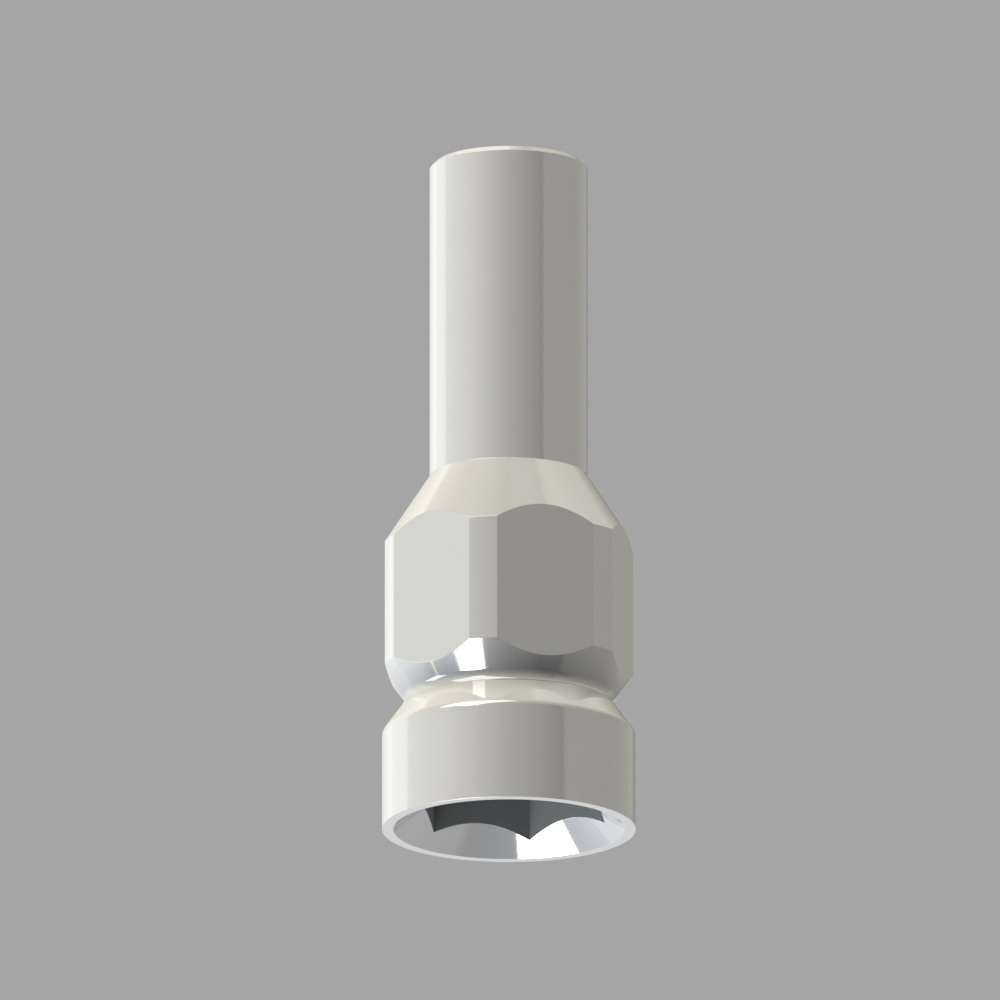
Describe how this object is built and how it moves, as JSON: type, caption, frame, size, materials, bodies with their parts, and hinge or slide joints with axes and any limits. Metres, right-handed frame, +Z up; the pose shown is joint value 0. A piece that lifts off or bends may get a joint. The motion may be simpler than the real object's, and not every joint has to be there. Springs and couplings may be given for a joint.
{
  "type": "dental abutment",
  "caption": "Hollow metal tube on a hexagonal body with a grooved round collar; its coned mouth and inner hexagon seat on a dental implant and a screw goes down the tube.",
  "frame": {"origin": "centre of the flat seating rim at the bottom", "axes": "+Z up the screw axis towards the tube's mouth, -Y square to one flat of both hexagons"},
  "size_m": [0.0048, 0.0048, 0.013],
  "materials": {
    "polished_titanium": "polished, with fine turning and milling marks"
  },
  "bodies": {
    "root": {"abutment": "polished_titanium"}
  },
  "joints": []
}
